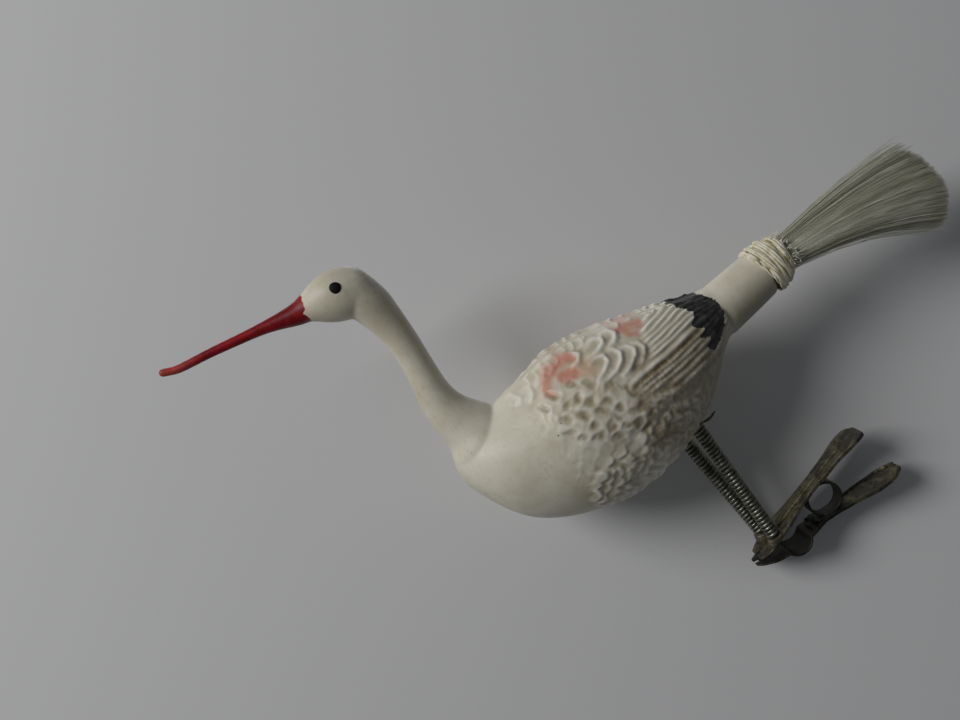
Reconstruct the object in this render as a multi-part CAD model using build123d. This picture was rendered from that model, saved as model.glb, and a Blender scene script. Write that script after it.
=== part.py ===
from build123d import *
import math
import os

# Clip-on blown-glass stork ornament: a hollow glass bird on two coil-spring legs,
# soldered to a stamped tin spring clip.  All lengths are in millimetres.
#
# The shape is laid out from the foot of the legs: +Z up the legs, the bird facing -X,
# its left side facing -Y.  GRIP moves the finished pieces so that the axis of the
# branch held in the clip is the origin.
GRIP = (3.8, 0.0, 0.9)

# ---- blown glass ---------------------------------------------------------------
WALL = 0.8
WING_RAISE = 0.5
# egg of the body: (x, centre z, half height, half width)
BODY_NOSE = (-43.9, 51.6)
BODY_STATIONS = [
    (-43.2, 51.4, 3.6, 3.2),
    (-41.2, 50.3, 7.2, 6.4),
    (-38.0, 48.5, 10.4, 9.3),
    (-34.0, 47.0, 12.5, 11.3),
    (-29.0, 45.9, 14.0, 12.8),
    (-24.0, 45.5, 15.2, 14.0),
    (-19.0, 45.45, 16.05, 14.7),
    (-14.0, 45.45, 16.15, 14.7),
    (-9.0, 45.45, 15.45, 14.1),
    (-4.0, 45.65, 14.05, 12.9),
    (1.0, 46.0, 12.3, 11.4),
    (6.0, 46.85, 9.95, 9.5),
    (10.0, 47.85, 7.6, 7.4),
    (13.0, 48.8, 5.9, 5.9),
    (16.0, 49.1, 5.4, 5.4),
]
TUBE_ROOT = BODY_STATIONS[-1]
TUBE_MOUTH = (26.8, 50.6, 4.9, 4.9)
# neck: (x, z, radius), from inside the breast up to the nape
NECK_STATIONS = [
    (-35.6, 54.0, 7.2),
    (-37.2, 59.0, 5.7),
    (-38.3, 62.7, 4.5),
    (-38.8, 66.6, 3.7),
    (-38.5, 71.0, 3.15),
    (-38.0, 76.0, 2.95),
    (-37.8, 80.6, 3.05),
    (-38.0, 84.6, 3.4),
    (-38.6, 88.6, 4.0),
    (-39.6, 92.0, 4.3),
]
# head, nape to beak: (x, centre z, half height, half width)
HEAD_NAPE = (-35.4, 92.6)
HEAD_STATIONS = [
    (-35.9, 92.7, 2.3, 2.1),
    (-37.2, 92.9, 4.0, 3.7),
    (-39.5, 93.2, 4.9, 4.5),
    (-42.0, 93.6, 5.15, 4.7),
    (-44.5, 94.0, 4.75, 4.3),
    (-47.0, 94.45, 3.7, 3.45),
    (-49.5, 95.1, 2.4, 2.35),
]
# side outline of a folded wing, shoulder to tip and back: (x, z)
WING_OUTLINE = [
    (-24.0, 55.0),
    (-19.0, 61.0),
    (-8.0, 63.5),
    (8.0, 58.0),
    (13.2, 53.9),
    (15.2, 49.8),
    (11.8, 44.0),
    (2.0, 44.0),
    (-10.0, 44.5),
    (-20.0, 48.5),
]
# drawn glass beak: (x, z, radius), head to tip
BEAK_STATIONS = [
    (-49.5, 95.1, 2.35),
    (-52.5, 95.6, 1.85),
    (-56.0, 96.4, 1.32),
    (-60.0, 97.15, 1.05),
    (-66.0, 98.2, 0.92),
    (-71.5, 99.0, 0.86),
    (-75.2, 99.7, 0.78),
]
BEAK_TIP = (-77.0, 100.5)
EYE_AT = (-41.9, 95.4)
EYE_R = 1.1
EYE_FACE_Y = 4.7

# ---- tail ----------------------------------------------------------------------
TAIL_PLUG_FROM = 20.5
BRUSH_ROOT_R = 2.25
# spun-glass brush: (x, centre z, half height, half width, tilt of the section in degrees)
BRUSH_STATIONS = [
    (27.0, 50.6, 2.4, 2.4, 0.0),
    (35.0, 50.8, 3.1, 3.0, 0.0),
    (43.0, 50.5, 4.3, 4.1, 3.0),
    (50.0, 49.6, 5.6, 5.2, 8.0),
    (57.0, 47.9, 7.1, 6.3, 14.0),
    (60.5, 46.7, 7.7, 6.6, 18.0),
    (63.0, 45.8, 6.4, 5.3, 18.0),
]
# thread binding round the tube's mouth: (distance along the tail axis, outer radius)
BINDING_OUTER = [(-1.5, 5.2), (0.6, 5.4), (2.9, 5.0), (5.2, 4.1), (7.4, 3.3)]

# ---- coil-spring legs ----------------------------------------------------------
WIRE = 0.66
COIL_R = 1.08
PITCH = 0.9
LEG_TOP_LEFT = (-0.7, -2.5, 34.4)
LEG_FOOT_LEFT = (0.5, -2.5, 4.05)
LEG_TOP_RIGHT = (-3.8, 2.5, 33.6)
LEG_FOOT_RIGHT = (-0.5, 2.5, 3.65)
LEG_HOLE_R = 1.56
PLUG_TOP = 39.0
PLUG_BORE_R = 1.47

# ---- spring clip ---------------------------------------------------------------
TIN = 0.45
GRIP_R = 2.9
GRIP_ARC = 58.0
RING_AT = (13.5, 3.8)
RING_R = 3.65
RING_STRIP = 0.5
RING_WIDTH = 3.4
RIB_RAISE = 0.3
RIB_WIDE = 1.0
FLANGE_DEEP = 0.4
FLANGE_THICK = 0.4

os.makedirs("parts", exist_ok=True)


def export(node, shape):
    """Write one node, moved so that the grip axis is the origin."""
    solid = shape.moved(Location((-GRIP[0], -GRIP[1], -GRIP[2])))
    export_step(solid, "parts/" + node + ".step")
    print(node, round(shape.volume, 2), "mm3", "valid", shape.is_valid)


# ---- helpers -------------------------------------------------------------------
def oval(x, z, half_high, half_wide, tilt=0.0):
    """An upright oval section facing +X, leaned forward by tilt degrees."""
    lean = math.radians(tilt)
    facing = (math.cos(lean), 0, -math.sin(lean))
    plane = Plane(origin=(x, 0, z), x_dir=(0, 1, 0), z_dir=facing)
    return plane * Ellipse(half_wide, half_high)


def egg(stations, nose=None, grow=0.0):
    """A solid through oval sections, closed at the nose point when there is one."""
    sections = []
    if nose:
        away = 1 if stations[0][0] > nose[0] else -1
        sections.append(Vertex(nose[0] - away * grow, 0, nose[1]))
    for x, z, half_high, half_wide in stations:
        sections.append(oval(x, z, half_high + grow, half_wide + grow))
    return loft(sections)


def tube_along(stations, grow=0.0, first=None):
    """A round solid through (x, z, radius) stations of a curved centre line."""
    line = Spline([(x, 0, z) for x, z, r in stations])
    sections = [first] if first else []
    for x, z, r in stations[len(sections) :]:
        along = line.param_at_point(Vector(x, 0, z))
        tangent = line.tangent_at(along)
        plane = Plane(origin=(x, 0, z), x_dir=(0, 1, 0), z_dir=tangent)
        sections.append(plane * Circle(r + grow))
    return loft(sections)


def side_prism(outline, y_from, y_to):
    """A closed smooth outline in the XZ plane, extruded from y_from to y_to."""
    points = [(x, 0, z) for x, z in outline]
    face = make_face(Spline(points, periodic=True))
    solid = extrude(face, y_to - y_from, dir=(0, 1, 0))
    return solid.moved(Location((0, y_from, 0)))


def along_y(x, z, radius, y_from, y_to):
    """A round bar along Y."""
    plane = Plane(origin=(x, y_from, z), x_dir=(1, 0, 0), z_dir=(0, 1, 0))
    return extrude(plane * Circle(radius), y_to - y_from)


def between(start, end, radius):
    """A round bar from start to end."""
    a = Vector(*start)
    b = Vector(*end)
    plane = Plane(origin=a, z_dir=b - a)
    return extrude(plane * Circle(radius), (b - a).length)


def shrunk(station):
    """A section station set in by the wall."""
    x, z, half_high, half_wide = station
    return (x, z, half_high - WALL, half_wide - WALL)


def cavity():
    """The hollow inside the glass, open at the tail tube's mouth."""
    inside = [shrunk(station) for station in BODY_STATIONS]
    inside[0] = (BODY_STATIONS[0][0] + 0.45, 51.4, 2.9, 2.5)
    body = egg(inside, (BODY_NOSE[0] + WALL, BODY_NOSE[1]))
    neck = tube_along(NECK_STATIONS, -WALL)
    inner_head = [shrunk(station) for station in HEAD_STATIONS[:-1]]
    head = egg(inner_head, (HEAD_NAPE[0] - WALL * 0.4, HEAD_NAPE[1]))
    return body + neck + head + tail_tube(-WALL, 1.0)


def tail_tube(grow=0.0, past=0.0):
    """The tail tube as a solid cone, lengthened past its mouth when asked."""
    x, z, r, _ = TUBE_ROOT
    mx, mz, mr, _ = TUBE_MOUTH
    share = past / (mx - x)
    end = (mx + past, mz + (mz - z) * share, mr, mr)
    sections = [oval(x, z, r + grow, r + grow), oval(end[0], end[1], mr + grow, mr + grow)]
    return loft(sections, ruled=True)


# ---- the glass bird ------------------------------------------------------------
outer_body = egg(BODY_STATIONS, BODY_NOSE)
outer_neck = tube_along(NECK_STATIONS)
outer_head = egg(HEAD_STATIONS, HEAD_NAPE)
swollen = egg(BODY_STATIONS, BODY_NOSE, WING_RAISE)
wing_left = swollen & side_prism(WING_OUTLINE, -20, -2.5)
wing_right = swollen & side_prism(WING_OUTLINE, 2.5, 20)
hollow = cavity()
leg_holes = [
    between(LEG_FOOT_LEFT, LEG_TOP_LEFT, LEG_HOLE_R),
    between(LEG_FOOT_RIGHT, LEG_TOP_RIGHT, LEG_HOLE_R),
]
glass = outer_body + wing_left + wing_right + outer_neck + outer_head + tail_tube()
glass = glass - hollow
for hole in leg_holes:
    glass = glass - hole
export("glass_bird", glass)

tip_x, tip_z = BEAK_TIP
last_x, last_z, last_r = BEAK_STATIONS[-1]
neck_end = oval(*HEAD_STATIONS[-1])
beak = tube_along(BEAK_STATIONS, first=neck_end)
beak = beak + between((last_x, 0, last_z), (tip_x, 0, tip_z), last_r)
beak = beak + Pos(tip_x, 0, tip_z) * Sphere(last_r)
export("beak", beak)

for node, side in (("eye_left", -1), ("eye_right", 1)):
    ends = sorted((side * 3.0, side * EYE_FACE_Y))
    eye = along_y(EYE_AT[0], EYE_AT[1], EYE_R, ends[0], ends[1])
    export(node, eye - outer_head)

# ---- the tail ------------------------------------------------------------------
mouth_x, mouth_z = TUBE_MOUTH[0], TUBE_MOUTH[1]
root_x, root_z = TUBE_ROOT[0], TUBE_ROOT[1]
tail_slope = math.degrees(math.atan2(mouth_z - root_z, mouth_x - root_x))
tail_plane = Plane(
    origin=(mouth_x, 0, mouth_z),
    x_dir=(0, 1, 0),
    z_dir=(math.cos(math.radians(tail_slope)), 0, math.sin(math.radians(tail_slope))),
)

stem = between((21.0, 0, 49.8), (28.4, 0, 50.75), BRUSH_ROOT_R)
brush = stem + loft([oval(*station) for station in BRUSH_STATIONS])
export("tail_brush", brush)

plug_length = mouth_x - TAIL_PLUG_FROM
plug_block = Pos(TAIL_PLUG_FROM + plug_length / 2, 0, mouth_z) * Box(plug_length, 20, 20)
tail_plug = (hollow & plug_block) - brush
export("tail_plug", tail_plug)

sleeve = loft([tail_plane.offset(along) * Circle(r) for along, r in BINDING_OUTER])
binding = sleeve - tail_tube() - brush
export("tail_binding", binding)


# ---- the legs ------------------------------------------------------------------
def coil(foot, top):
    """A close-wound helical spring standing on foot and ending at top."""
    a = Vector(*foot)
    b = Vector(*top)
    height = (b - a).length - WIRE
    start = a + (b - a).normalized() * (WIRE / 2)
    helix = Helix(
        pitch=PITCH,
        height=height,
        radius=COIL_R,
        center=start,
        direction=b - a,
    )
    section = Plane(origin=helix @ 0, z_dir=helix % 0) * Circle(WIRE / 2)
    return sweep(section, path=helix, is_frenet=True)


export("leg_spring_left", coil(LEG_FOOT_LEFT, LEG_TOP_LEFT))
export("leg_spring_right", coil(LEG_FOOT_RIGHT, LEG_TOP_RIGHT))

plug_shape = Pos(-1.5, 0, 34.0) * extrude(Ellipse(5.6, 5.4), PLUG_TOP - 34.0)
plug_shape = plug_shape + Pos(-1.5, 0, 30.0) * extrude(Ellipse(5.6, 5.4), 4.0)
belly_plug = hollow & plug_shape
for foot, top in ((LEG_FOOT_LEFT, LEG_TOP_LEFT), (LEG_FOOT_RIGHT, LEG_TOP_RIGHT)):
    beyond = Vector(*top) + (Vector(*top) - Vector(*foot)).normalized() * 0.1
    belly_plug = belly_plug - between(foot, beyond, PLUG_BORE_R)
export("belly_plug", belly_plug)

# leaf-shaped metal tongue that springs rearward from the belly behind the left leg
tongue_plan = make_face(
    Polyline(
        (0.85, -2.9, 30),
        (0.85, -2.1, 30),
        (2.2, -1.85, 30),
        (3.3, -2.2, 30),
        (3.9, -2.5, 30),
        (3.3, -2.8, 30),
        (2.2, -3.15, 30),
        close=True,
    )
)
tongue_side = make_face(
    Polyline(
        (0.85, 0, 35.0),
        (0.85, 0, 33.1),
        (2.3, 0, 32.8),
        (3.9, 0, 33.3),
        (3.9, 0, 33.6),
        (2.3, 0, 33.2),
        (1.5, 0, 33.5),
        (1.5, 0, 35.0),
        close=True,
    )
)
tongue = extrude(tongue_plan, 8, dir=(0, 0, 1)) & extrude(tongue_side, 6, both=True)
export("leg_tongue", tongue - outer_body)


# ---- the clip ------------------------------------------------------------------
# Inner (branch-side) line of each plate in side view, nose to handle: (x, z)
UPPER_INNER = [
    (-4.3, 1.05),
    (-3.2, 1.35),
    (0.0, 2.55),
    (4.4, 4.45),
    (9.0, 6.15),
    (13.5, 7.72),
    (19.0, 9.6),
    (24.0, 11.2),
    (26.6, 11.6),
]
LOWER_FRONT = [(-5.6, 0.5), (-3.4, 0.1), (-1.0, -0.2)]
LOWER_REAR = [(9.6, 0.02), (13.5, 0.06), (19.0, -0.15), (25.0, -0.4), (29.8, 0.45)]
LIP_R = 0.8
# each plate seen from above, nose to handle: (x, half width on the left, on the right)
UPPER_PLAN = [
    (-4.6, 2.0, 2.0),
    (-3.9, 2.7, 2.7),
    (-2.4, 3.4, 3.4),
    (0.0, 3.75, 3.75),
    (4.0, 3.3, 3.3),
    (9.0, 2.5, 2.5),
    (14.0, 2.35, 2.35),
    (19.0, 2.8, 2.8),
    (23.0, 3.5, 3.3),
    (24.6, 3.6, 3.0),
    (25.6, 3.4, 2.3),
    (26.4, 3.0, 1.2),
    (27.0, 2.4, 0.2),
]
LOWER_PLAN = [
    (-6.0, 0.7, 0.7),
    (-5.4, 1.7, 1.7),
    (-4.4, 2.7, 2.7),
    (-2.4, 3.6, 3.6),
    (1.0, 4.0, 4.0),
    (5.5, 3.8, 3.8),
    (9.0, 2.8, 2.8),
    (11.0, 2.3, 2.3),
    (15.0, 2.2, 2.2),
    (19.0, 2.8, 2.8),
    (23.0, 3.4, 3.3),
    (26.0, 3.5, 3.1),
    (28.0, 3.2, 2.2),
    (29.4, 2.5, 1.0),
    (30.0, 1.9, 0.2),
]
UPPER_FLANGE = (4.2, 26.8)
LOWER_FLANGE = (8.4, 29.8)
UPPER_RIB = (2.6, 22.0)
LOWER_RIB = (17.5, 25.0)
TOOTH_WIDE = 1.1
TOOTH_DEEP = 1.0
LUG_AT = 8.0
SOLDER_FOOT_R = 2.1
SOLDER_TOP_R = 1.5
UP = "up"
DOWN = "down"


def plan_prism(plan, inset=0.0):
    """A plate's outline seen from above, as a tall prism."""
    right = [(x, far - inset) for x, near, far in plan]
    left = [(x, inset - near) for x, near, far in reversed(plan)]
    outline = Polyline([(x, y, -20) for x, y in right + left], close=True)
    return extrude(make_face(outline), 60, dir=(0, 0, 1))


def slab(x_from, x_to, half_wide):
    """A tall block between two stations, for limiting a feature."""
    length = x_to - x_from
    return Pos(x_from + length / 2, 0, 0) * Box(length, 2 * half_wide, 60)


def beside(edge, side, distance):
    """An edge in the XZ plane, moved sideways by a distance."""
    sign = 1 if side == UP else -1
    steps = 2 if edge.geom_type == GeomType.CIRCLE else 16
    points = []
    for step in range(steps + 1):
        along = step / steps
        tangent = edge % along
        normal = Vector(-tangent.Z, 0, tangent.X) * sign
        points.append((edge @ along) + normal * distance)
    return ThreePointArc(*points) if steps == 2 else Spline(points)


def sheet_on(path, side, thick):
    """A wide sheet standing thick on one side of a side-view path."""
    near = list(path)
    far = [beside(edge, side, thick).edge() for edge in near]
    joined = []
    for a, b in zip(far, far[1:]):
        joined.append(a)
        if ((a @ 1) - (b @ 0)).length > 1e-6:
            joined.append(Line(a @ 1, b @ 0).edge())
    joined.append(far[-1])
    caps = [Line(near[0] @ 0, far[0] @ 0).edge(), Line(near[-1] @ 1, far[-1] @ 1).edge()]
    return extrude(make_face(Wire(near + joined + caps)), 6, both=True)


def notches(x_nose, ys):
    """Slots cut back from a nose, leaving teeth between them."""
    cuts = []
    for y in ys:
        cuts.append(Pos(x_nose, y, 0) * Box(2 * TOOTH_DEEP, TOOTH_WIDE, 20))
    return cuts


def upper_path():
    """The edges of the upper plate's inner line."""
    return [Spline([(x, 0, z) for x, z in UPPER_INNER]).edge()]


def polar(centre, radius, degrees):
    """A point in the XZ plane at an angle from straight down, rearward positive."""
    turn = math.radians(degrees)
    return (centre[0] + radius * math.sin(turn), 0, centre[1] - radius * math.cos(turn))


def lower_path():
    """The edges of the lower plate's inner line, with the round trough for the branch."""
    grip = (GRIP[0], GRIP[2])
    far = GRIP_R + LIP_R
    edges = []
    front_lip = polar(grip, far, -GRIP_ARC)
    rear_lip = polar(grip, far, GRIP_ARC)
    front_top = (front_lip[0], 0, front_lip[2] + LIP_R)
    rear_top = (rear_lip[0], 0, rear_lip[2] + LIP_R)
    front_mid = polar((front_lip[0], front_lip[2]), LIP_R, 180 - GRIP_ARC / 2)
    rear_mid = polar((rear_lip[0], rear_lip[2]), LIP_R, 180 + GRIP_ARC / 2)
    start = polar(grip, GRIP_R, -GRIP_ARC)
    end = polar(grip, GRIP_R, GRIP_ARC)
    front = [(x, 0, z) for x, z in LOWER_FRONT] + [front_top]
    rear = [rear_top] + [(x, 0, z) for x, z in LOWER_REAR]
    edges.append(Spline(front, tangents=[(1, 0, -0.15), (1, 0, 0)]).edge())
    edges.append(ThreePointArc(front_top, front_mid, start).edge())
    edges.append(ThreePointArc(start, polar(grip, GRIP_R, 0), end).edge())
    edges.append(ThreePointArc(end, rear_mid, rear_top).edge())
    edges.append(Spline(rear, tangents=[(1, 0, 0), (1, 0, 0.25)]).edge())
    return edges


def plate(path, outer_side, plan, flange, rib, notch_ys):
    """One stamped plate: sheet, edge flanges, rib, lug and teeth."""
    inner_side = UP if outer_side == DOWN else DOWN
    outline = plan_prism(plan)
    rim = outline - plan_prism(plan, FLANGE_THICK)
    made = sheet_on(path, outer_side, TIN) & outline
    made = made + (sheet_on(path, inner_side, FLANGE_DEEP) & rim & slab(*flange, 8))
    bead = sheet_on(path, outer_side, TIN + RIB_RAISE)
    made = made + (bead & slab(*rib, RIB_WIDE / 2))
    made = made + (sheet_on(path, inner_side, 1.1) & slab(LUG_AT - TIN, LUG_AT, 0.9))
    for cut in notches((path[0] @ 0).X, notch_ys):
        made = made - cut
    return made


clip_upper = plate(upper_path(), UP, UPPER_PLAN, UPPER_FLANGE, UPPER_RIB, (0,))
clip_lower = plate(lower_path(), DOWN, LOWER_PLAN, LOWER_FLANGE, LOWER_RIB, (0,))
export("clip_upper_plate", clip_upper)
export("clip_lower_plate", clip_lower)

# strip spring: a ring that is the fulcrum, its two curled ends hooked to the lugs
mid_r = RING_R - RING_STRIP / 2
rise = math.radians(19.3)
cx, cz = RING_AT
top_touch = (cx - mid_r * math.sin(rise), 0, cz + mid_r * math.cos(rise))
low_touch = (cx, 0, cz - mid_r)
arm = 3.1
top_front = (top_touch[0] - arm * math.cos(rise), 0, top_touch[2] - arm * math.sin(rise))
low_front = (low_touch[0] - arm - 1.0, 0, low_touch[2])
top_hook = ThreePointArc(
    top_front,
    (top_front[0] - 0.45, 0, top_front[2] - 0.65),
    (top_front[0] + 0.1, 0, top_front[2] - 1.15),
)
low_hook = ThreePointArc(
    low_front,
    (low_front[0] - 0.55, 0, low_front[2] + 0.5),
    (low_front[0], 0, low_front[2] + 1.05),
)
ring_line = Wire(
    [
        top_hook.edge(),
        Line(top_front, top_touch).edge(),
        ThreePointArc(top_touch, (cx + mid_r, 0, cz), low_touch).edge(),
        Line(low_touch, low_front).edge(),
        low_hook.edge(),
    ]
)
ring_face = make_face(ring_line.offset_2d(RING_STRIP / 2, side=Side.BOTH))
ring_spring = extrude(ring_face, RING_WIDTH / 2, both=True)
narrow = slab(0, 9.9, RING_WIDTH) - slab(0, 9.9, 0.9)
ring_spring = ring_spring - narrow
export("clip_ring_spring", ring_spring)

for node, foot in (("solder_left", LEG_FOOT_LEFT), ("solder_right", LEG_FOOT_RIGHT)):
    x, y, z = foot
    base = Plane(origin=(x, y, z - 3.0)) * Circle(SOLDER_FOOT_R)
    top = Plane(origin=(x, y, z - 0.03)) * Circle(SOLDER_TOP_R)
    lump = loft([base, top])
    above = sheet_on(upper_path(), UP, 8.0)
    lump = (lump & above & plan_prism(UPPER_PLAN, 0.05)) - clip_upper
    export(node, lump)
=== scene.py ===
"""Clip-on blown-glass stork ornament: the looks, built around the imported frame.

Blender lengths are metres in the row frame.  The patterns on the bird are laid out in
millimetres from the foot of the legs, x rearward and z up, as seen from its left side.
"""
import math
import random
from contextlib import contextmanager

import bmesh
import bpy
import numpy as np
from mathutils import Matrix, Vector


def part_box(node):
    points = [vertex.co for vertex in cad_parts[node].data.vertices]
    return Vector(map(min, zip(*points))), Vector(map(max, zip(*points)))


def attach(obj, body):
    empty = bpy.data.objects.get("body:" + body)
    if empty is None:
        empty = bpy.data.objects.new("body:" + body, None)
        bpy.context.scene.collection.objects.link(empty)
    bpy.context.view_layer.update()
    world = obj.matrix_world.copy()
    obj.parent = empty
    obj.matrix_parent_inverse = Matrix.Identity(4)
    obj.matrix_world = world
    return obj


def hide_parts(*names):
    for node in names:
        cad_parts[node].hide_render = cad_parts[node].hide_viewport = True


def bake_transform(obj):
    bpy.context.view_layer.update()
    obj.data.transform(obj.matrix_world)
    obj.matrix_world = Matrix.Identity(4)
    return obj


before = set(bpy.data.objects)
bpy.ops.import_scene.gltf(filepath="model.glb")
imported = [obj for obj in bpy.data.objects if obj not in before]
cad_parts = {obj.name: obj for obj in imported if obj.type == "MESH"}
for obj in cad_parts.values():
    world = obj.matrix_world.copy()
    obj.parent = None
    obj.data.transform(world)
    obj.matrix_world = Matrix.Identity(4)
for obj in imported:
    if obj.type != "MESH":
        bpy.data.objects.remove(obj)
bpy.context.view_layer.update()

MM = 0.001
FEET = (3.8, 0.0, 0.9)
SCENE = bpy.context.scene
rng = random.Random(20)


def at(x, y, z):
    """A place in the row frame from millimetres laid out from the foot of the legs."""
    return Vector((x - FEET[0], y - FEET[1], z - FEET[2])) * MM


def middle(node):
    """The centre of a CAD node's box."""
    low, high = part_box(node)
    return (low + high) / 2


# ---- colours and shader helpers -------------------------------------------------
def rgb(red, green, blue):
    """A linear colour from display values of 0 to 255."""

    def linear(value):
        share = value / 255
        return share / 12.92 if share <= 0.04045 else ((share + 0.055) / 1.055) ** 2.4

    return (linear(red), linear(green), linear(blue), 1.0)


class Shade:
    """A node material being put together."""

    def __init__(self, name, **sockets):
        self.material = bpy.data.materials.new(name)
        self.material.use_nodes = True
        self.tree = self.material.node_tree
        self.shader = self.tree.nodes["Principled BSDF"]
        self.set(**sockets)
        self.place = self.add("ShaderNodeTexCoord").outputs["Object"]

    def set(self, **sockets):
        """Sets or links the shader's own sockets; underscores in names are spaces."""
        for name, value in sockets.items():
            self.plug(self.shader.inputs[name.replace("_", " ")], value)

    def plug(self, socket, value):
        if isinstance(value, bpy.types.NodeSocket):
            self.tree.links.new(value, socket)
        else:
            socket.default_value = value

    def add(self, kind, inputs=None, **settings):
        node = self.tree.nodes.new(kind)
        for name, value in settings.items():
            setattr(node, name, value)
        for name, value in (inputs or {}).items():
            self.plug(node.inputs[name], value)
        return node

    def noise(self, size, detail=3.0, rough=0.55, stretch=(1, 1, 1), lean=0.0):
        """Noise with lumps of about size millimetres."""
        scale = [part / (size * MM) for part in stretch]
        mapping = {"Vector": self.place, "Scale": scale, "Rotation": (0, lean, 0)}
        vector = self.add("ShaderNodeMapping", mapping).outputs[0]
        values = {"Vector": vector, "Scale": 1.0, "Detail": detail, "Roughness": rough}
        return self.add("ShaderNodeTexNoise", values).outputs["Fac"]

    def cells(self, size):
        """Distance to scattered points about size millimetres apart."""
        values = {"Vector": self.place, "Scale": 1 / (size * MM)}
        return self.add("ShaderNodeTexVoronoi", values).outputs["Distance"]

    def attribute(self, name):
        return self.add("ShaderNodeAttribute", attribute_name=name).outputs["Fac"]

    def math(self, operation, a, b=0.0, clamp=False):
        values = {0: a, 1: b}
        node = self.add("ShaderNodeMath", values, operation=operation, use_clamp=clamp)
        return node.outputs[0]

    def span(self, value, low, high, to_low=0.0, to_high=1.0):
        """value from low..high to to_low..to_high, smoothly and clamped."""
        names = ("Value", "From Min", "From Max", "To Min", "To Max")
        values = dict(zip(names, (value, low, high, to_low, to_high)))
        node = self.add("ShaderNodeMapRange", values, interpolation_type="SMOOTHSTEP")
        return node.outputs["Result"]

    def mix(self, share, a, b):
        node = self.add("ShaderNodeMix", data_type="RGBA")
        self.plug(node.inputs[0], share)
        self.plug(node.inputs[6], a)
        self.plug(node.inputs[7], b)
        return node.outputs[2]

    def patches(self, size, low, high, a, b, detail=3.0, rough=0.55):
        """Colour a with patches of b, of about size millimetres."""
        return self.mix(self.span(self.noise(size, detail, rough), low, high), a, b)

    def over(self, colour, share, strength, paint):
        """paint laid over colour where share is, at most as strong as strength."""
        return self.mix(self.math("MULTIPLY", share, strength), colour, paint)

    def bump(self, height, depth, strength=1.0):
        """Bumps the shader's normal by height times depth millimetres."""
        values = {"Height": height, "Distance": depth * MM, "Strength": strength}
        normal = self.add("ShaderNodeBump", values).outputs[0]
        self.set(Normal=normal)


# ---- mesh helpers ---------------------------------------------------------------
def new_piece(name, vertices, faces, material, smooth=True):
    """A mesh object in the scene, from metres in the row frame."""
    mesh = bpy.data.meshes.new(name)
    mesh.from_pydata([tuple(v) for v in vertices], [], faces)
    mesh.update()
    piece = bpy.data.objects.new(name, mesh)
    SCENE.collection.objects.link(piece)
    if smooth:
        mesh.polygons.foreach_set("use_smooth", [True] * len(mesh.polygons))
    mesh.materials.append(material)
    return piece


def table(items, name, width=3, kind=float):
    """One property of all items as a numpy table, one row per item."""
    flat = np.empty(len(items) * width, kind)
    items.foreach_get(name, flat)
    return flat.reshape(-1, width)


def points_of(mesh):
    return table(mesh.vertices, "co")


def normals_of(mesh):
    return table(mesh.vertices, "normal")


def edges_of(mesh):
    return table(mesh.edges, "vertices", 2, np.int64)


def set_points(mesh, points):
    mesh.vertices.foreach_set("co", points.ravel())
    mesh.update()


def laid_out(points):
    """x, y and z in layout millimetres of points in the row frame."""
    return (points / MM + FEET).T


@contextmanager
def edited(mesh):
    """A bmesh of the mesh, written back at the end."""
    solid = bmesh.new()
    solid.from_mesh(mesh)
    yield solid
    solid.to_mesh(mesh)
    solid.free()


def spread(values, edges, rounds):
    """values at vertices, averaged with their neighbours' a number of times."""
    count = np.bincount(edges.ravel(), minlength=len(values))
    for _ in range(rounds):
        total = np.bincount(edges[:, 0], values[edges[:, 1]], len(values))
        total += np.bincount(edges[:, 1], values[edges[:, 0]], len(values))
        values = 0.5 * values + 0.5 * total / np.maximum(count, 1)
    return values


def store(mesh, name, values):
    attribute = mesh.attributes.new(name, "FLOAT", "POINT")
    attribute.data.foreach_set("value", np.asarray(values, np.float32))


def keep_largest_island(mesh):
    """Drops every loose part of a mesh but the one with the most vertices."""
    edges = edges_of(mesh)
    label = np.arange(len(mesh.vertices))
    while True:
        lowest = label.copy()
        np.minimum.at(lowest, edges[:, 0], label[edges[:, 1]])
        np.minimum.at(lowest, edges[:, 1], label[edges[:, 0]])
        lowest = lowest[lowest]
        if (lowest == label).all():
            break
        label = lowest
    main = np.bincount(label).argmax()
    with edited(mesh) as solid:
        extra = [v for v in solid.verts if label[v.index] != main]
        bmesh.ops.delete(solid, geom=extra, context="VERTS")


# Voxel in millimetres and rounds of smoothing of each skin
GLASS_SKIN = (0.26, 8)
PLATE_SKIN = (0.125, 3)
RING_SKIN = (0.11, 3)
SOLDER_SKIN = (0.12, 2)


def voxel_skin(name, nodes, voxel, rounds, material, stoppers=()):
    """One smooth closed skin round the solids of some CAD nodes and balls (centre, radius)."""
    mesh = bpy.data.meshes.new(name)
    with edited(mesh) as solid:
        for node in nodes:
            solid.from_mesh(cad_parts[node].data)
        for centre, radius in stoppers:
            place = Matrix.Translation(centre)
            bmesh.ops.create_icosphere(solid, subdivisions=2, radius=radius, matrix=place)
    piece = bpy.data.objects.new(name, mesh)
    SCENE.collection.objects.link(piece)
    remesh = piece.modifiers.new("remesh", "REMESH")
    remesh.mode = "VOXEL"
    remesh.voxel_size = voxel * MM
    smooth = piece.modifiers.new("smooth", "SMOOTH")
    smooth.iterations = rounds
    graph = bpy.context.evaluated_depsgraph_get()
    piece_now = piece.evaluated_get(graph)
    final = bpy.data.meshes.new_from_object(piece_now, depsgraph=graph)
    piece.modifiers.clear()
    piece.data = final
    keep_largest_island(final)
    final.polygons.foreach_set("use_smooth", [True] * len(final.polygons))
    final.materials.clear()
    final.materials.append(material)
    return piece


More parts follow.
